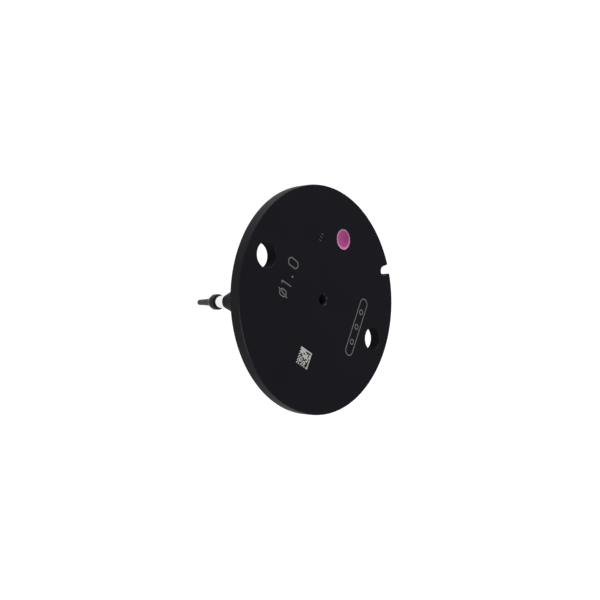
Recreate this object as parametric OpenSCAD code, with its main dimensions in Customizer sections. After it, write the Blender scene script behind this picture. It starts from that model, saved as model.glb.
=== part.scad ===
// Sprung vacuum nozzle that picks up small electronic parts.
// The flange seats in a holder and closes the barrel. In the barrel a coil spring
// presses on the head of a steel tube, which carries a collar and a ceramic tip.
// Millimetres. Origin at the centre of the seating face, +Z out of that face.

/* [Overall] */
// Distance from the seating face to the end of the tip
nozzle_length = 30; // [28.5:0.1:40]
// Travel of the sprung tube
stroke = 2; // [1:0.1:2.6]

/* [Flange] */
// Diameter of the flange
flange_d = 36; // [30:0.5:44]
// Thickness of the flange
flange_t = 1.9; // [1.5:0.1:2.4]
// Chamfer on the flange's edges and on its holes
edge_chamfer = 0.12; // [0.05:0.01:0.25]
// Diameter of the two locating holes
locating_d = 3.9; // [3:0.1:4.8]
// Distance from the rim to the centre of each locating hole
locating_inset = 4; // [3.3:0.1:5]
// Width of the index notch
notch_w = 1.65; // [1:0.05:2.4]
// Depth of the index notch from the rim
notch_depth = 2.3; // [1.5:0.1:3]
// Angle of the index notch and the guide pin from the first locating hole
notch_angle = 45; // [25:1:65]
// Diameter of the vacuum port
port_d = 1.6; // [1.2:0.1:2.2]
// Chamfer at both mouths of the vacuum port
port_chamfer = 0.2; // [0.1:0.05:0.4]
// Length of the spigot that plugs the barrel
spigot_len = 2.1; // [1.5:0.1:2.6]

/* [Colour dot] */
// Diameter of the enamel dot
dot_d = 3.35; // [2:0.05:4.2]
// Distance from the rim to the centre of the dot
dot_inset = 7; // [5:0.1:8]
// Depth of the recess under the enamel
dot_recess = 0.4; // [0.25:0.05:0.6]
// Depth of the dished top of the enamel
dot_dish = 0.1; // [0.05:0.01:0.15]

/* [Barrel] */
// Diameter of the barrel
barrel_d = 8; // [7:0.1:10]
// Wall of the barrel round the spring
barrel_wall = 1.4; // [1.1:0.05:1.7]
// Step that the spigot rests on
seat_step = 0.4; // [0.3:0.05:0.5]
// Width of the shoulder under the flange
shoulder_w = 1.5; // [1:0.1:3]
// Thickness of the shoulder under the flange
shoulder_t = 1.2; // [0.8:0.1:2]
// Fillet between the shoulder and the barrel
shoulder_fillet = 0.8; // [0.3:0.1:1]
// Half-angle of the conical nose
nose_half_angle = 26; // [22:1:32]
// Wall at the end of the nose
nose_lip = 0.12; // [0.1:0.01:0.3]
// Wall of the nose outside the bush
nose_wall = 0.9; // [0.6:0.05:1.1]

/* [Bush and pin] */
// Wall of the guide bush
bush_wall = 0.7; // [0.5:0.05:0.85]
// Length of the guide bush below its flange
bush_len = 5; // [3.5:0.1:6]
// Thickness of the bush's flange
bush_flange_t = 0.6; // [0.4:0.05:0.8]
// Diameter of the guide pin
pin_d = 1; // [0.7:0.05:1.2]
// Depth of the keyway in the head
keyway_depth = 0.9; // [0.6:0.05:1.1]

/* [Spring] */
// Diameter of the spring wire
wire_d = 0.4; // [0.3:0.02:0.5]
// Number of turns, with the closed ones
spring_turns = 6; // [5:0.5:7]
// Closed turns at each end
closed_turns = 0.75; // [0.5:0.05:1]

/* [Sliding tube] */
// Outside diameter of the tube
tube_d = 2.15; // [1.8:0.05:2.6]
// Vacuum bore of the tube
tube_bore_d = 1.2; // [0.8:0.05:1.4]
// Length of head above and below the pin at the ends of the travel
pin_cover = 0.6; // [0.3:0.05:0.7]

/* [Collar and tip] */
// Wall of the collar round the tube
collar_wall = 0.325; // [0.25:0.025:0.45]
// Length of the collar's rear bevel
collar_bevel = 0.54; // [0.3:0.02:0.8]
// Length of the collar's straight band
collar_band = 0.72; // [0.5:0.02:1]
// Half-angle of the collar's front cone
collar_half_angle = 27.5; // [22:0.5:32]
// Length of the tip in front of the collar
tip_len = 2.88; // [2:0.02:4]
// Diameter of the tip's root band
tip_root_d = 1.28; // [1.2:0.02:1.5]
// Length of the tip's root band
tip_root_len = 0.45; // [0.3:0.05:0.8]
// Step between the root band and the tapered tip
tip_root_step = 0.03; // [0.01:0.01:0.06]
// Outside diameter of the tip's end
tip_end_d = 1; // [0.9:0.02:1.15]
// Suction bore of the tip
tip_bore_d = 0.6; // [0.4:0.05:0.7]
// Wall of the tip's shank inside the collar
shank_wall = 0.16; // [0.12:0.01:0.2]
// Length of the tip's shank inside the collar
shank_len = 1; // [0.7:0.05:1.2]

/* [Fits] */
// Radial clearance of the sliding fits
running_gap = 0.025; // [0.015:0.005:0.04]
// Radial clearance of the bonded joints
bond_gap = 0.01; // [0.01:0.005:0.02]
// Radial clearance between the tube and the end of the nose
nose_gap = 0.055; // [0.04:0.005:0.08]
// Radial clearance between the spring and the chamber
spring_gap = 0.3; // [0.2:0.05:0.4]
// End clearance of the spring, the head and the pushed-in collar
end_gap = 0.02; // [0.02:0.01:0.05]

/* [Hidden] */

round_fn = 96;
black = "#1b1b1f";
cut = 1; // how far a cutting solid runs past a face

// Radii that other pieces fit to
flange_r = flange_d / 2;
port_r = port_d / 2;
dot_r = dot_d / 2;
barrel_r = barrel_d / 2;
chamber_r = barrel_r - barrel_wall;
mouth_r = chamber_r + seat_step;
tube_r = tube_d / 2;
tube_bore_r = tube_bore_d / 2;
bush_bore_r = tube_r + running_gap;
bush_r = bush_bore_r + bush_wall;
nose_bore_r = tube_r + nose_gap;
nose_end_r = nose_bore_r + nose_lip;
head_r = chamber_r - running_gap;
pin_r = pin_d / 2;
pin_tip_r = head_r - keyway_depth + 4 * running_gap;
socket_r = tube_r + bond_gap;
collar_r = tube_r + collar_wall;
tip_root_r = tip_root_d / 2;
tip_bore_r = tip_bore_d / 2;
shank_r = tip_bore_r + shank_wall;

// Heights, from the tip back up to the seating face
tip_z = -nozzle_length;
collar_front_z = tip_z + tip_len;
collar_cone_len = (collar_r - tip_root_r) / tan(collar_half_angle);
collar_cone_z = collar_front_z + collar_cone_len;
collar_band_z = collar_cone_z + collar_band;
collar_rear_z = collar_band_z + collar_bevel;
shank_top_z = collar_front_z + shank_len;
nose_z = collar_rear_z + stroke + end_gap;
bush_foot_z = nose_z + (bush_r + nose_wall - nose_end_r) / tan(nose_half_angle);
chamber_floor_z = bush_foot_z + bush_len;
head_foot_z = chamber_floor_z + bush_flange_t + end_gap;
head_len = stroke + pin_d + 2 * pin_cover;
head_top_z = head_foot_z + head_len;
pin_z = head_foot_z + (stroke + head_len) / 2;
spigot_z = -flange_t - spigot_len;
nose_cone_z = nose_z + (barrel_r - nose_end_r) / tan(nose_half_angle);
shoulder_z = -flange_t - shoulder_t;

// Points of an arc, as [radius, height]
function arc(centre, r, from, to, steps = 6) = [
    for (i = [0 : steps])
        let (a = from + (to - from) * i / steps)
            centre + r * [cos(a), sin(a)]
];

// A turned solid from an outline of [radius, height]
module turned(outline) {
    rotate_extrude($fn = round_fn)
        polygon(outline);
}

// Everything that goes out at one angle in the flange's plane
module at_angle(angle, distance) {
    rotate([0, 0, angle])
        translate([distance, 0, 0])
            children();
}

// Cutter for a through hole in the flange, with chamfered mouths
module flange_hole(r) {
    c = edge_chamfer;
    turned([
        [0, c], [r + 2 * c, c], [r, -c],
        [r, c - flange_t], [r + 2 * c, -flange_t - c], [0, -flange_t - c]
    ]);
}

// Cutter for the index notch, round at its inner end
module notch_cutter() {
    at_angle(notch_angle, flange_r - notch_depth + notch_w / 2)
        translate([0, 0, -flange_t - cut]) {
            cylinder(d = notch_w, h = flange_t + 2 * cut, $fn = round_fn);
            translate([0, -notch_w / 2, 0])
                cube([notch_depth + cut, notch_w, flange_t + 2 * cut]);
        }
}

// Flange, spigot and vacuum port in one piece
module flange_disc() {
    c = edge_chamfer;
    spigot_r = mouth_r - bond_gap;
    color(black)
        difference() {
            turned([
                [port_r + port_chamfer, 0], [flange_r - c, 0],
                [flange_r, -c], [flange_r, c - flange_t],
                [flange_r - c, -flange_t], [spigot_r, -flange_t],
                [spigot_r, spigot_z + c], [spigot_r - c, spigot_z],
                [port_r + port_chamfer, spigot_z],
                [port_r, spigot_z + port_chamfer], [port_r, -port_chamfer]
            ]);
            for (angle = [0, 180])
                at_angle(angle, flange_r - locating_inset)
                    flange_hole(locating_d / 2);
            at_angle(90, flange_r - dot_inset)
                translate([0, 0, -dot_recess])
                    cylinder(r = dot_r, h = dot_recess + cut, $fn = round_fn);
            notch_cutter();
        }
}

// Enamel that fills the recess, with a dished top
module colour_dot() {
    enamel_r = dot_r - bond_gap;
    dish_r = (enamel_r * enamel_r + dot_dish * dot_dish) / (2 * dot_dish);
    dish_angle = asin(enamel_r / dish_r);
    color("#c04a98")
        at_angle(90, flange_r - dot_inset)
            turned(concat(
                [[0, -dot_recess], [enamel_r, -dot_recess]],
                arc([0, dish_r - dot_dish - end_gap], dish_r, dish_angle - 90, -90)
            ));
}

// Barrel with its shoulder, conical nose and stepped bore
module barrel() {
    c = edge_chamfer;
    f = shoulder_fillet;
    shoulder_r = barrel_r + shoulder_w;
    bush_seat_r = bush_r + bond_gap;
    color(black)
        difference() {
            turned(concat(
                [
                    [mouth_r, -flange_t], [shoulder_r, -flange_t],
                    [shoulder_r, shoulder_z + c], [shoulder_r - c, shoulder_z]
                ],
                arc([barrel_r + f, shoulder_z - f], f, 90, 180),
                [
                    [barrel_r, nose_cone_z], [nose_end_r, nose_z],
                    [nose_bore_r, nose_z], [nose_bore_r, bush_foot_z],
                    [bush_seat_r, bush_foot_z], [bush_seat_r, chamber_floor_z],
                    [chamber_r, chamber_floor_z], [chamber_r, spigot_z],
                    [mouth_r, spigot_z]
                ]
            ));
            pin_place(chamber_r - cut)
                cylinder(r = pin_r + bond_gap, h = barrel_wall + 2 * cut, $fn = round_fn);
        }
}

// Turns a solid along +Z into the pin's direction, from a given radius outwards
module pin_place(from_r) {
    rotate([0, 0, notch_angle])
        translate([from_r, 0, pin_z])
            rotate([0, 90, 0])
                children();
}

// Flanged bush: its flange is the stop that the head rests on
module guide_bush() {
    c = edge_chamfer;
    flange_edge_r = chamber_r - 4 * running_gap;
    thrust_z = chamber_floor_z + bush_flange_t;
    color("#b08d4e")
        turned([
            [bush_bore_r + c, thrust_z], [flange_edge_r - c, thrust_z],
            [flange_edge_r, thrust_z - c], [flange_edge_r, chamber_floor_z],
            [bush_r, chamber_floor_z], [bush_r, bush_foot_z + c],
            [bush_r - c, bush_foot_z], [bush_bore_r + c, bush_foot_z],
            [bush_bore_r, bush_foot_z + c], [bush_bore_r, thrust_z - c]
        ]);
}

// Pin through the barrel's wall, with its end in the head's keyway
module guide_pin() {
    outer_r = barrel_r - edge_chamfer;
    color("#c9ccd0")
        pin_place(pin_tip_r)
            cylinder(r = pin_r, h = outer_r - pin_tip_r, $fn = round_fn);
}

// Compression spring with closed ends, swept as one closed skin
module buffer_spring() {
    sides = 8;
    steps = 20;
    rings = round(spring_turns * steps);
    coil_r = chamber_r - spring_gap - wire_d / 2;
    foot_z = head_top_z + end_gap + wire_d / 2;
    rise = spigot_z - head_top_z - 2 * end_gap - wire_d;
    closed_pitch = 1.05 * wire_d;
    closed_rise = closed_turns * closed_pitch;
    pitch = (rise - 2 * closed_rise) / (spring_turns - 2 * closed_turns);

    function height(turn) =
        turn < closed_turns ? closed_pitch * turn
        : turn > spring_turns - closed_turns ? rise - closed_pitch * (spring_turns - turn)
        : closed_rise + pitch * (turn - closed_turns);

    points = [
        for (ring = [0 : rings])
            let (turn = spring_turns * ring / rings)
                for (side = [0 : sides - 1])
                    let (a = 360 * side / sides)
                        let (r = coil_r + wire_d / 2 * cos(a))
                            [
                                r * cos(360 * turn),
                                r * sin(360 * turn),
                                foot_z + height(turn) + wire_d / 2 * sin(a)
                            ]
    ];
    skin = [
        for (ring = [0 : rings - 1])
            for (side = [0 : sides - 1])
                let (next = (side + 1) % sides)
                    [
                        ring * sides + side, (ring + 1) * sides + side,
                        (ring + 1) * sides + next, ring * sides + next
                    ]
    ];
    first_end = [for (side = [0 : sides - 1]) side];
    last_end = [for (side = [sides - 1 : -1 : 0]) rings * sides + side];
    color("#9a9da3")
        polyhedron(points, concat(skin, [first_end, last_end]), convexity = 10);
}

// Head pressed on the tube: the spring's seat, with a keyway for the pin
module shaft_head() {
    c = edge_chamfer;
    keyway_r = head_r - keyway_depth;
    keyway_w = pin_d + 2 * running_gap;
    color("#b9bcc2")
        difference() {
            turned([
                [socket_r, head_foot_z], [head_r - c, head_foot_z],
                [head_r, head_foot_z + c], [head_r, head_top_z - c],
                [head_r - c, head_top_z], [socket_r, head_top_z]
            ]);
            rotate([0, 0, notch_angle])
                translate([keyway_r, -keyway_w / 2, head_foot_z - cut])
                    cube([keyway_depth + cut, keyway_w, head_len + 2 * cut]);
        }
}

// Polished tube from the head down into the collar
module nozzle_shaft() {
    c = edge_chamfer;
    color("#d9dbde")
        turned([
            [tube_bore_r + c, head_top_z], [tube_r - c, head_top_z],
            [tube_r, head_top_z - c], [tube_r, collar_cone_z],
            [tube_bore_r, collar_cone_z], [tube_bore_r, head_top_z - c]
        ]);
}

// Collar bonded to the tube, with a socket for the tip's shank
module tip_collar() {
    rear_lip = 0.05;
    shank_seat_r = shank_r + bond_gap;
    color(black)
        turned([
            [socket_r, collar_rear_z], [socket_r + rear_lip, collar_rear_z],
            [collar_r, collar_band_z], [collar_r, collar_cone_z],
            [tip_root_r, collar_front_z], [shank_seat_r, collar_front_z],
            [shank_seat_r, shank_top_z], [tip_bore_r, shank_top_z],
            [tip_bore_r, collar_cone_z], [socket_r, collar_cone_z]
        ]);
}

// Ceramic tip: shank, root band and tapered end with a rounded rim
module ceramic_tip() {
    rim_r = 0.08;
    end_r = tip_end_d / 2;
    color("#3a3a3e")
        turned(concat(
            [
                [tip_bore_r, shank_top_z], [shank_r, shank_top_z],
                [shank_r, collar_front_z], [tip_root_r, collar_front_z],
                [tip_root_r, collar_front_z - tip_root_len],
                [tip_root_r - tip_root_step, collar_front_z - tip_root_len]
            ],
            arc([end_r - rim_r, tip_z + rim_r], rim_r, 0, -90, 4),
            [[tip_bore_r, tip_z]]
        ));
}

flange_disc();
colour_dot();
barrel();
guide_bush();
guide_pin();
buffer_spring();
shaft_head();
nozzle_shaft();
tip_collar();
ceramic_tip();
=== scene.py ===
import math

import bpy
from mathutils import Euler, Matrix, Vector


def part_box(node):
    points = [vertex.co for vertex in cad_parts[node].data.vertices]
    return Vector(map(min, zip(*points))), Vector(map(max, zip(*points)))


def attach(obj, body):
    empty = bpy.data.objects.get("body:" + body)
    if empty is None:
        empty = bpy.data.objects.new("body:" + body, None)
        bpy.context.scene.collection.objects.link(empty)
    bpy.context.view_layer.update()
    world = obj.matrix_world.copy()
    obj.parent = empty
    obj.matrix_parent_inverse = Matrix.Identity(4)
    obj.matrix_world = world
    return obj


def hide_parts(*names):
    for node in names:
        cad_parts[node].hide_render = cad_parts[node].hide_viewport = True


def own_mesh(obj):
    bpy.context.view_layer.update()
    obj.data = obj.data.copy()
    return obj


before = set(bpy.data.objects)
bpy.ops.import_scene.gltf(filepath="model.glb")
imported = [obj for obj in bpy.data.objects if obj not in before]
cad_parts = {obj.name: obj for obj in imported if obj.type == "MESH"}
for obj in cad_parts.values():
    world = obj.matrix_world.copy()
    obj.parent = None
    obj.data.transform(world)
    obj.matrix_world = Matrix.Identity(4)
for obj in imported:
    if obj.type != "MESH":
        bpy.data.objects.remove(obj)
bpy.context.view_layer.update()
print("frame loaded:", len(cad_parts), "nodes")

mm = 0.001
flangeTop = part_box("flange_disc")[1][2]
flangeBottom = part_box("barrel")[1][2]
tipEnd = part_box("ceramic_tip")[0][2]


def deselectAll():
    if bpy.context.object and bpy.context.object.mode != "OBJECT":
        bpy.ops.object.mode_set(mode="OBJECT")
    bpy.ops.object.select_all(action="DESELECT")


def makeActive(piece):
    deselectAll()
    piece.select_set(True)
    bpy.context.view_layer.objects.active = piece


def editMode(selectMode="FACE"):
    bpy.ops.object.mode_set(mode="EDIT")
    bpy.ops.mesh.select_mode(type=selectMode)


def objectMode():
    bpy.ops.object.mode_set(mode="OBJECT")


def giveMaterial(piece, material):
    piece.data.materials.clear()
    piece.data.materials.append(material)


noiseSpan = (0.3, 0.7)    # most of a noise texture's values lie between these


def startMaterial(name):
    material = bpy.data.materials.new(name)
    material.use_nodes = True
    nodes = material.node_tree.nodes
    links = material.node_tree.links
    return material, nodes, links, nodes["Principled BSDF"]


def addNode(nodes, kind, **inputs):
    node = nodes.new(kind)
    for name, value in inputs.items():
        node.inputs[name].default_value = value
    return node


def addNoise(nodes, links, scale, detail=2, stretch=(1, 1, 1)):
    coords = nodes.new("ShaderNodeTexCoord")
    placed = addNode(nodes, "ShaderNodeMapping", Scale=stretch)
    noise = addNode(nodes, "ShaderNodeTexNoise", Scale=scale, Detail=detail)
    links.new(coords.outputs["Object"], placed.inputs["Vector"])
    links.new(placed.outputs["Vector"], noise.inputs["Vector"])
    return noise.outputs["Fac"]


def distanceFrom(nodes, links, centre):
    # how far a point lies from the centre, whatever its height
    coords = nodes.new("ShaderNodeTexCoord")
    placed = addNode(nodes, "ShaderNodeMapping", Location=(-centre[0], -centre[1], 0), Scale=(1, 1, 0))
    length = nodes.new("ShaderNodeVectorMath")
    length.operation = "LENGTH"
    links.new(coords.outputs["Object"], placed.inputs["Vector"])
    links.new(placed.outputs["Vector"], length.inputs[0])
    return length.outputs["Value"]


def mapRange(nodes, links, source, fromSpan, toSpan):
    ranged = nodes.new("ShaderNodeMapRange")
    for name, value in zip(("From Min", "From Max", "To Min", "To Max"), (*fromSpan, *toSpan)):
        ranged.inputs[name].default_value = value
    links.new(source, ranged.inputs["Value"])
    return ranged.outputs["Result"]


def mathNode(nodes, links, operation, first, second):
    node = nodes.new("ShaderNodeMath")
    node.operation = operation
    links.new(first, node.inputs[0])
    links.new(second, node.inputs[1])
    return node.outputs["Value"]


def mixColours(nodes, links, factor, first, second):
    # each of the two is a colour, or another node's output
    mix = nodes.new("ShaderNodeMix")
    mix.data_type = "RGBA"
    links.new(factor, mix.inputs["Factor"])
    for socket, colour in ((mix.inputs["A"], first), (mix.inputs["B"], second)):
        if isinstance(colour, tuple):
            socket.default_value = (*colour, 1)
        else:
            links.new(colour, socket)
    return mix.outputs["Result"]


def addBump(nodes, links, shader, height, strength, depth):
    bump = addNode(nodes, "ShaderNodeBump", Strength=strength, Distance=depth)
    links.new(height, bump.inputs["Height"])
    links.new(bump.outputs["Normal"], shader.inputs["Normal"])


blackAnodised = {
    "colour": (0.0064, 0.0063, 0.0094),
    "paler": (0.0078, 0.0076, 0.0110),
    "roughness": (0.40, 0.48),
    "specular": 0.15,
    "cloudScale": 160,
    "grainScale": 26000,
    "grainStrength": 0.6,
    "grainDepth": 0.004 * mm,
}


def makeBlackAnodised():
    look = blackAnodised
    material, nodes, links, shader = startMaterial("blackAnodised")
    cloud = addNoise(nodes, links, look["cloudScale"], detail=4)
    links.new(mixColours(nodes, links, cloud, look["colour"], look["paler"]), shader.inputs["Base Color"])
    links.new(mapRange(nodes, links, cloud, noiseSpan, look["roughness"]), shader.inputs["Roughness"])
    shader.inputs["Specular IOR Level"].default_value = look["specular"]
    grain = addNoise(nodes, links, look["grainScale"])
    addBump(nodes, links, shader, grain, look["grainStrength"], look["grainDepth"])
    return material


metals = {
    "polishedSteel": {"colour": (0.82, 0.82, 0.81), "roughness": (0.07, 0.13), "lines": 30000},
    "turnedSteel": {"colour": (0.50, 0.51, 0.52), "roughness": (0.24, 0.34), "lines": 16000},
    "springSteel": {"colour": (0.33, 0.34, 0.36), "roughness": (0.26, 0.38), "lines": 9000},
    "bronze": {"colour": (0.52, 0.33, 0.14), "roughness": (0.28, 0.40), "lines": 14000},
}
turnedLines = {
    "stretch": (0.04, 0.04, 1),    # long round the nozzle's axis, fine along it
    "strength": 0.25,
    "depth": 0.002 * mm,
}


def makeMetal(name):
    # bare metal has the fine lines that turning and grinding leave
    look = metals[name]
    material, nodes, links, shader = startMaterial(name)
    shader.inputs["Base Color"].default_value = (*look["colour"], 1)
    shader.inputs["Metallic"].default_value = 1
    lines = addNoise(nodes, links, look["lines"], stretch=turnedLines["stretch"])
    links.new(mapRange(nodes, links, lines, noiseSpan, look["roughness"]), shader.inputs["Roughness"])
    addBump(nodes, links, shader, lines, turnedLines["strength"], turnedLines["depth"])
    return material


blacks = {
    "holeBlack": {
        "colour": (0.007, 0.007, 0.009), "roughness": (0.60, 0.70), "specular": 0.03, "grain": 14000,
    },
    "barrelBlack": {
        "colour": (0.0066, 0.0066, 0.0085), "roughness": (0.46, 0.54), "specular": 0.035, "grain": 14000,
    },
    "blackSteel": {
        "colour": (0.006, 0.006, 0.007), "roughness": (0.30, 0.40), "specular": 0.16, "grain": 12000,
    },
    "blackCeramic": {
        "colour": (0.020, 0.020, 0.022), "roughness": (0.34, 0.44), "specular": 0.34, "grain": 15000,
    },
}
blackSurface = {
    "cloudScale": 1500,
    "paler": 1.35,             # how much lighter the pale patches are
    "grainStrength": 0.3,
    "grainDepth": 0.002 * mm,
}


def makeBlack(name):
    look = blacks[name]
    material, nodes, links, shader = startMaterial(name)
    cloud = addNoise(nodes, links, blackSurface["cloudScale"], detail=3)
    paler = tuple(blackSurface["paler"] * channel for channel in look["colour"])
    links.new(mixColours(nodes, links, cloud, look["colour"], paler), shader.inputs["Base Color"])
    links.new(mapRange(nodes, links, cloud, noiseSpan, look["roughness"]), shader.inputs["Roughness"])
    shader.inputs["Specular IOR Level"].default_value = look["specular"]
    grain = addNoise(nodes, links, look["grain"])
    addBump(nodes, links, shader, grain, blackSurface["grainStrength"], blackSurface["grainDepth"])
    return material


enamel = {
    "colour": (0.42, 0.066, 0.25),
    # painted shade: the darker magenta where the recess wall shades the dot
    "paintedShade": (0.27, 0.036, 0.14),
    # painted highlight: the pale colour of the dot's rim
    "rim": (0.60, 0.29, 0.46),
    "highlightWidth": 0.42 * mm,
    "highlightShift": 0.11 * mm,         # how far the centre of the painted highlight is moved towards +Y, so the highlight band is wider towards -Y
    "paintedShadeSpan": (0.3, 1.3),      # where the painted shade ends, in radii of the dot
    "unevenness": (0.5, 1.2),
    "cloudScale": 1400,
    "roughness": 0.22,
    "bumpStrength": 0.2,
    "bumpDepth": 0.02 * mm,
}


def makeEnamel():
    # the dot's rim is painted paler as a painted highlight, wider towards -Y, and the dot is painted darker
    # towards +X +Y as painted shade from the recess wall, with random patches in that shade
    look = enamel
    material, nodes, links, shader = startMaterial("pinkEnamel")
    low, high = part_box("colour_dot")
    x, y = ((low[axis] + high[axis]) / 2 for axis in range(2))
    radius = (high[0] - low[0]) / 2
    fromHighlightCentre = distanceFrom(nodes, links, (x, y + look["highlightShift"]))
    paintedHighlightMask = mapRange(nodes, links, fromHighlightCentre, (radius - look["highlightWidth"], radius + look["highlightShift"] / 2), (0, 1))
    fromShadeCentre = distanceFrom(nodes, links, (x + radius / 2, y + radius / 2))
    paintedShadeMask = mapRange(nodes, links, fromShadeCentre, [share * radius for share in look["paintedShadeSpan"]], (1, 0))
    cloud = addNoise(nodes, links, look["cloudScale"], detail=3)
    patches = mapRange(nodes, links, cloud, noiseSpan, look["unevenness"])
    unevenPaintedShade = mathNode(nodes, links, "MULTIPLY", paintedShadeMask, patches)
    middle = mixColours(nodes, links, unevenPaintedShade, look["colour"], look["paintedShade"])
    links.new(mixColours(nodes, links, paintedHighlightMask, middle, look["rim"]), shader.inputs["Base Color"])
    shader.inputs["Roughness"].default_value = look["roughness"]
    addBump(nodes, links, shader, cloud, look["bumpStrength"], look["bumpDepth"])
    return material


laserMarks = {
    "fineMark": {"colour": (0.13, 0.13, 0.135), "paler": (0.20, 0.20, 0.19)},
    "codeMark": {"colour": (0.36, 0.36, 0.33), "paler": (0.50, 0.50, 0.46)},
    "faintMark": {"colour": (0.062, 0.062, 0.066), "paler": (0.085, 0.085, 0.088)},
}
laserSurface = {
    "spotScale": 9000,
    "roughness": 0.75,
    "specular": 0.2,
    "bumpStrength": 0.4,
    "bumpDepth": 0.004 * mm,
}


def makeLaserMark(name):
    look = laserMarks[name]
    material, nodes, links, shader = startMaterial(name)
    spots = addNoise(nodes, links, laserSurface["spotScale"])
    links.new(mixColours(nodes, links, spots, look["colour"], look["paler"]), shader.inputs["Base Color"])
    shader.inputs["Roughness"].default_value = laserSurface["roughness"]
    shader.inputs["Specular IOR Level"].default_value = laserSurface["specular"]
    addBump(nodes, links, shader, spots, laserSurface["bumpStrength"], laserSurface["bumpDepth"])
    return material


finishes = {"blackAnodised": makeBlackAnodised(), "pinkEnamel": makeEnamel()}
finishes.update({name: makeMetal(name) for name in metals})
finishes.update({name: makeBlack(name) for name in blacks})
finishes.update({name: makeLaserMark(name) for name in laserMarks})
print("materials made:", len(finishes))

# every CAD piece gets a finished copy: its finish, its material slot and the body it rides on
cadFinishes = {
    "flange_disc": ("blackAnodised", "black_anodised", "nozzle_body"),
    "colour_dot": ("pinkEnamel", "pink_enamel", "nozzle_body"),
    "barrel": ("barrelBlack", "black_anodised", "nozzle_body"),
    "guide_bush": ("bronze", "bronze", "nozzle_body"),
    "guide_pin": ("turnedSteel", "pin_steel", "nozzle_body"),
    "buffer_spring": ("springSteel", "spring_steel", "nozzle_body"),
    "shaft_head": ("turnedSteel", "turned_steel", "plunger"),
    "nozzle_shaft": ("polishedSteel", "polished_steel", "plunger"),
    "tip_collar": ("blackSteel", "black_steel", "plunger"),
    "ceramic_tip": ("blackCeramic", "black_ceramic", "plunger"),
}
copies = {
    "mergeDistance": 0.0005 * mm,
    "sameWithin": 0.004 * mm,    # how close a point lies to the ring it belongs to
    "edgeAngle": 25,             # sharper turns than this stay edges
    "springAngle": 60,           # the spring's wire has few sides
}


def near(value, target):
    return abs(value - target) < copies["sameWithin"]


def onRing(point, height, radius, centre=(0, 0, 0)):
    return near(point.z, height) and near(math.dist(point.xy, centre[:2]), radius)


def moveRing(piece, inRing, rise=0.0, spread=1.0, centre=(0, 0, 0)):
    # raises or widens the ring of points that inRing picks
    editMode("VERT")
    bpy.ops.mesh.select_all(action="DESELECT")
    objectMode()
    for vertex in piece.data.vertices:
        vertex.select = inRing(vertex.co)
    editMode("VERT")
    bpy.ops.transform.resize(value=(spread, spread, 1), center_override=centre)
    bpy.ops.transform.translate(value=(0, 0, rise))
    objectMode()


holeEdges = {
    "radius": 1.95 * mm,
    "distance": 14 * mm,      # from the flange's axis
    "chamfer": 0.12 * mm,     # as it is on the flange's rim
    "finer": 0.04 * mm,       # what the holes get in its place
}


def sharpenHoles(piece):
    radius = holeEdges["radius"]
    chamfer = holeEdges["chamfer"]
    finer = holeEdges["finer"]
    centres = [(side * holeEdges["distance"], 0, 0) for side in (-1, 1)]
    for centre in centres:
        for height, up in ((flangeTop, 1), (flangeBottom, -1)):
            moveRing(
                piece, lambda point: onRing(point, height, radius + chamfer, centre),
                spread=(radius + finer) / (radius + chamfer), centre=centre,
            )
            moveRing(
                piece, lambda point: onRing(point, height - up * chamfer, radius, centre),
                rise=up * (chamfer - finer),
            )
    piece.data.materials.append(None)
    for face in piece.data.polygons:
        inHole = min(math.dist(face.center[:2], centre[:2]) for centre in centres) < radius
        face.material_index = 1 if inHole else 0


slimmerNose = {
    "barrelRadius": 4 * mm,
    "rise": 1.92 * mm,        # makes the nose a cone of 20 degrees each side
}


def slimNose(piece):
    # each ring of the cone rises with its radius, so the nose's end stays where it is
    width = slimmerNose["barrelRadius"]
    points = [vertex.co.copy() for vertex in piece.data.vertices]
    base = min(point.z for point in points if near(point.xy.length, width))
    end = min(point.z for point in points)
    endRadius = max(point.xy.length for point in points if near(point.z, end))
    slope = (width - endRadius) / (base - end)

    def onCone(point):
        return near(point.xy.length, endRadius + slope * (point.z - end))

    aboveEnd = [point for point in points if onCone(point) and not near(point.z, end)]
    for radius in sorted({round(point.xy.length, 7) for point in aboveEnd}, reverse=True):
        moveRing(
            piece, lambda point: near(point.xy.length, radius) and onCone(point),
            rise=slimmerNose["rise"] * (radius - endRadius) / (width - endRadius),
        )


collarRise = 0.26 * mm    # leaves the collar a short bevel and a longer band


def squareCollar(piece):
    widest = max(vertex.co.xy.length for vertex in piece.data.vertices)
    rim = max(vertex.co.z for vertex in piece.data.vertices if near(vertex.co.xy.length, widest))
    moveRing(piece, lambda point: onRing(point, rim, widest), rise=collarRise)


reshape = {"flange_disc": sharpenHoles, "barrel": slimNose, "tip_collar": squareCollar}


def smoothCopy(node, finish, body):
    makeActive(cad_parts[node])
    bpy.ops.object.duplicate()
    piece = bpy.context.object
    piece.name = piece.data.name = node + "_finished"
    editMode("VERT")
    bpy.ops.mesh.select_all(action="SELECT")
    bpy.ops.mesh.remove_doubles(threshold=copies["mergeDistance"])
    objectMode()
    bpy.ops.mesh.customdata_custom_splitnormals_clear()
    if node in reshape:
        reshape[node](piece)
    angle = copies["springAngle"] if node == "buffer_spring" else copies["edgeAngle"]
    bpy.ops.object.shade_smooth_by_angle(angle=math.radians(angle))
    if node == "flange_disc":
        piece.data.materials[0] = finishes[finish]
        piece.data.materials[1] = finishes["holeBlack"]
    else:
        giveMaterial(piece, finishes[finish])
    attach(piece, body)
    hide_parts(node)
    return piece


def compressSpring(spring):
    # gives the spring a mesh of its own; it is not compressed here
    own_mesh(spring)


finished = {}
for node, (finish, slotName, body) in cadFinishes.items():
    finished[node] = smoothCopy(node, finish, body)
compressSpring(finished["buffer_spring"])
print("CAD pieces finished")

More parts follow.
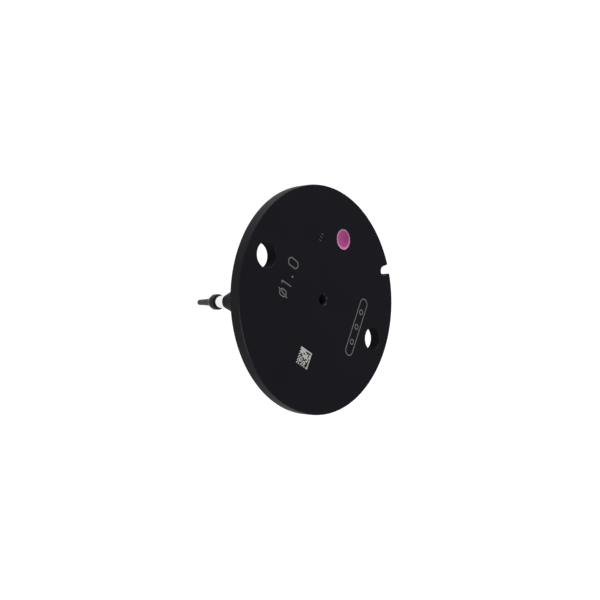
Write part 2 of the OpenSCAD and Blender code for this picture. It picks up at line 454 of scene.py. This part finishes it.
marks = {
    "depth": 0.012 * mm,      # how far a mark stands off the face
    "stroke": 0.15 * mm,
    "cornerSteps": 10,
    "barRounding": 0.45,      # share of a bar's width that each corner takes
    "barSteps": 4,
    "dotSides": 20,
}


def thicken(mark):
    # gives a flat mark its depth and seats it on the face
    makeActive(mark)
    bpy.ops.object.modifier_add(type="SOLIDIFY")
    solid = mark.modifiers[-1]
    solid.thickness = marks["depth"]
    solid.offset = 1
    bpy.ops.object.modifier_apply(modifier=solid.name)


def flatPlate(centre, size, turn=0.0):
    bpy.ops.mesh.primitive_plane_add(size=1, location=(*centre, flangeTop), rotation=(0, 0, turn))
    plate = bpy.context.object
    plate.scale = (*size, 1)
    bpy.ops.object.transform_apply(location=True, rotation=True, scale=True)
    return plate


def roundCorners(corner, steps):
    editMode("VERT")
    bpy.ops.mesh.select_all(action="SELECT")
    bpy.ops.mesh.bevel(offset=corner, segments=steps, affect="VERTICES", clamp_overlap=True)


def roundedFrame(centre, size, corner, steps=marks["cornerSteps"]):
    # a rounded outline of one stroke's width
    outline = flatPlate(centre, size)
    roundCorners(corner, steps)
    bpy.ops.mesh.select_mode(type="FACE")
    bpy.ops.mesh.select_all(action="SELECT")
    bpy.ops.mesh.inset(thickness=marks["stroke"])
    bpy.ops.mesh.delete(type="FACE")
    objectMode()
    return outline


def strokeBar(start, end, stroke=marks["stroke"]):
    # a straight stroke with rounded ends
    middle = ((start[0] + end[0]) / 2, (start[1] + end[1]) / 2)
    turn = math.atan2(end[1] - start[1], end[0] - start[0])
    bar = flatPlate(middle, (math.dist(start, end) + stroke, stroke), turn)
    roundCorners(stroke * marks["barRounding"], marks["barSteps"])
    objectMode()
    return bar


def dot(centre, radius):
    bpy.ops.mesh.primitive_circle_add(
        vertices=marks["dotSides"], radius=radius, fill_type="NGON", location=(*centre, flangeTop)
    )
    bpy.ops.object.transform_apply(location=True, rotation=True, scale=True)
    return bpy.context.object


def joinMark(name, parts, finish):
    for part in parts:
        thicken(part)
    makeActive(parts[0])
    for part in parts:
        part.select_set(True)
    if len(parts) > 1:
        bpy.ops.object.join()
    mark = bpy.context.object
    mark.name = mark.data.name = name
    giveMaterial(mark, finishes[finish])
    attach(mark, "nozzle_body")


sizeNumber = {
    "x": -8.55 * mm,          # middle of the characters, from the flange's centre
    "height": 2.34 * mm,
    "zero": {"y": 1.72 * mm, "width": 1.34 * mm, "corner": 0.66 * mm},
    "point": {"y": -0.22 * mm, "inset": 0.40 * mm, "radius": 0.17 * mm},
    "one": {"y": (-1.76 * mm, -1.68 * mm), "reach": 0.93, "flag": (0.30 * mm, -0.32 * mm)},
    "ring": {"y": -3.32 * mm, "size": (1.62 * mm, 1.16 * mm), "corner": 0.57 * mm},
    "slash": {"y": (-3.62 * mm, -3.02 * mm), "reach": 0.94},
}


def makeSizeNumber():
    # the number reads along +Y, with its top towards -X
    x = sizeNumber["x"]
    half = sizeNumber["height"] / 2
    zero, point, one, ring, slash = (sizeNumber[name] for name in ("zero", "point", "one", "ring", "slash"))
    oneTop = (x - half * one["reach"], one["y"][0])
    oneFoot = (x + half * one["reach"], one["y"][1])
    flagEnd = (oneTop[0] + one["flag"][0], oneTop[1] + one["flag"][1])
    slashFoot = (x + half * slash["reach"], slash["y"][0])
    slashTop = (x - half * slash["reach"], slash["y"][1])
    parts = [
        roundedFrame((x, zero["y"]), (2 * half, zero["width"]), zero["corner"]),
        dot((x + half - point["inset"], point["y"]), point["radius"]),
        strokeBar(oneTop, oneFoot),
        strokeBar(oneTop, flagEnd),
        roundedFrame((x, ring["y"]), ring["size"], ring["corner"]),
        strokeBar(slashFoot, slashTop),
    ]
    joinMark("sizeNumber", parts, "fineMark")


codeField = {
    "centre": (0.05 * mm, -10.0 * mm),
    "side": 2.70 * mm,
    "cells": 12,
}


def isDarkCell(column, row):
    # solid on the +X and +Y sides, alternating on the other two, mixed inside
    last = codeField["cells"] - 1
    if column == last or row == last:
        return False
    if column == 0 or row == 0:
        return (column + row) % 2 == 1
    return (column * column * 7 + row * row * 5 + column * row * 3 + column) % 11 in (1, 3, 4, 6, 8, 9)


def makeCodeField():
    centre = codeField["centre"]
    cells = codeField["cells"]
    side = codeField["side"]
    bpy.ops.mesh.primitive_grid_add(
        x_subdivisions=cells, y_subdivisions=cells, size=side, location=(*centre, flangeTop)
    )
    field = bpy.context.object
    bpy.ops.object.transform_apply(location=True, rotation=True, scale=True)
    editMode()
    bpy.ops.mesh.select_all(action="DESELECT")
    objectMode()
    for face in field.data.polygons:
        column, row = (int((face.center[axis] - centre[axis] + side / 2) / side * cells) for axis in range(2))
        face.select = isDarkCell(column, row)
    editMode()
    bpy.ops.mesh.delete(type="FACE")
    objectMode()
    joinMark("codeField", [field], "codeMark")


frameMark = {
    "centre": (9.3 * mm, -0.15 * mm),
    "size": (1.95 * mm, 10.2 * mm),
    "corner": 0.94 * mm,
    "ringWidth": 0.95 * mm,
    "ringCorner": 0.47 * mm,
    "ringSteps": 8,
    "ringGap": 2.7 * mm,
}


def makeFrameMark():
    x, y = frameMark["centre"]
    ringSize = (frameMark["ringWidth"], frameMark["ringWidth"])
    parts = [roundedFrame((x, y), frameMark["size"], frameMark["corner"])]
    for offset in (-1, 0, 1):
        place = (x, y + offset * frameMark["ringGap"])
        parts.append(roundedFrame(place, ringSize, frameMark["ringCorner"], frameMark["ringSteps"]))
    joinMark("frameMark", parts, "fineMark")


tickMarks = {
    "centre": (-4.85 * mm, 8.5 * mm),
    "length": 0.44 * mm,
    "stroke": 0.13 * mm,
    "gap": 0.55 * mm,
}


def makeTicks():
    x, y = tickMarks["centre"]
    half = tickMarks["length"] / 2
    ticks = []
    for offset in (-1, 0, 1):
        place = y + offset * tickMarks["gap"]
        ticks.append(strokeBar((x - half, place), (x + half, place), tickMarks["stroke"]))
    joinMark("tickMarks", ticks, "faintMark")


makeSizeNumber()
makeCodeField()
makeFrameMark()
makeTicks()
print("laser marks made")

floorSet = {
    "gap": 0.5 * mm,                     # between the tip and the floor
    "size": 3.0,
    "colour": (0.26, 0.26, 0.26),
    "roughness": 0.9,
    "glow": (0.90, 1.0),                 # what the camera sees besides the floor's own light, near and far
    "glowSpan": (120 * mm, 500 * mm),
    "gloss": (0.84, 0.10),               # what metal mirrors of the floor's middle and of the rest
    "glossSpan": (22 * mm, 60 * mm),
}


def makeFloor():
    deselectAll()
    bpy.ops.mesh.primitive_plane_add(size=floorSet["size"], location=(0, 0, tipEnd - floorSet["gap"]))
    floor = bpy.context.object
    floor.name = "studioFloor"
    material, nodes, links, shader = startMaterial("paleFloor")
    shader.inputs["Base Color"].default_value = (*floorSet["colour"], 1)
    shader.inputs["Roughness"].default_value = floorSet["roughness"]
    shader.inputs["Specular IOR Level"].default_value = 0
    shader.inputs["Emission Color"].default_value = (1, 1, 1, 1)
    path = nodes.new("ShaderNodeLightPath").outputs
    distance = distanceFrom(nodes, links, (0, 0))
    glow = mapRange(nodes, links, distance, floorSet["glowSpan"], floorSet["glow"])
    gloss = mapRange(nodes, links, distance, floorSet["glossSpan"], floorSet["gloss"])
    seen = mathNode(nodes, links, "MAXIMUM", path["Is Camera Ray"], path["Is Transmission Ray"])
    direct = mathNode(nodes, links, "MULTIPLY", seen, glow)
    mirrored = mathNode(nodes, links, "MULTIPLY", gloss, path["Is Glossy Ray"])
    links.new(mathNode(nodes, links, "ADD", direct, mirrored), shader.inputs["Emission Strength"])
    giveMaterial(floor, material)


worldLight = 0.18


def makeWorld():
    world = bpy.data.worlds.new("studioWorld")
    bpy.context.scene.world = world
    world.use_nodes = True
    nodes = world.node_tree.nodes
    links = world.node_tree.links
    background = nodes["Background"]
    background.inputs["Color"].default_value = (1, 1, 1, 1)
    path = nodes.new("ShaderNodeLightPath").outputs
    strength = mapRange(nodes, links, path["Is Camera Ray"], (0, 1), (worldLight, 1))
    links.new(strength, background.inputs["Strength"])


lamps = {
    "keyLamp": {"place": (-0.18, 0.34, 0.30), "size": 0.25, "power": 1.6},
    "fillLamp": {"place": (-0.20, -0.36, 0.30), "size": 0.30, "power": 1.5},
    "backLamp": {"place": (-0.06, 0.42, -0.01), "size": 0.24, "power": 0.7},
    "sideLamp": {"place": (0.34, -0.24, -0.01), "size": 0.24, "power": 0.6},
}


def makeLamp(name, settings):
    # each lamp faces the flange's centre
    deselectAll()
    bpy.ops.object.light_add(type="AREA", location=settings["place"])
    lamp = bpy.context.object
    lamp.name = name
    lamp.data.shape = "DISK"
    lamp.data.size = settings["size"]
    lamp.data.energy = settings["power"]
    lamp.rotation_euler = (-Vector(settings["place"])).to_track_quat("-Z", "Y").to_euler()


cameraSet = {
    "aim": (-4.70 * mm, -2.54 * mm, -0.04 * mm),
    "distance": 122.2 * mm,
    "azimuth": -61.33,
    "elevation": 42.85,
    "roll": 88.74,            # the view lies on its side, so the flange stands upright
    "lens": 48.30,
    "sensor": 36,
    "clip": (0.005, 20),
}


def makeCamera():
    upright = Euler((math.radians(90 - cameraSet["elevation"]), 0, math.radians(cameraSet["azimuth"])))
    turned = upright.to_matrix() @ Euler((0, 0, math.radians(cameraSet["roll"]))).to_matrix()
    place = Vector(cameraSet["aim"]) + turned @ Vector((0, 0, cameraSet["distance"]))
    deselectAll()
    bpy.ops.object.camera_add(location=place, rotation=turned.to_euler())
    camera = bpy.context.object
    camera.data.lens = cameraSet["lens"]
    camera.data.sensor_width = cameraSet["sensor"]
    camera.data.clip_start, camera.data.clip_end = cameraSet["clip"]
    bpy.context.scene.camera = camera


makeFloor()
makeWorld()
for name, settings in lamps.items():
    makeLamp(name, settings)
makeCamera()
bpy.context.scene.view_settings.view_transform = "Standard"
print("stage set")
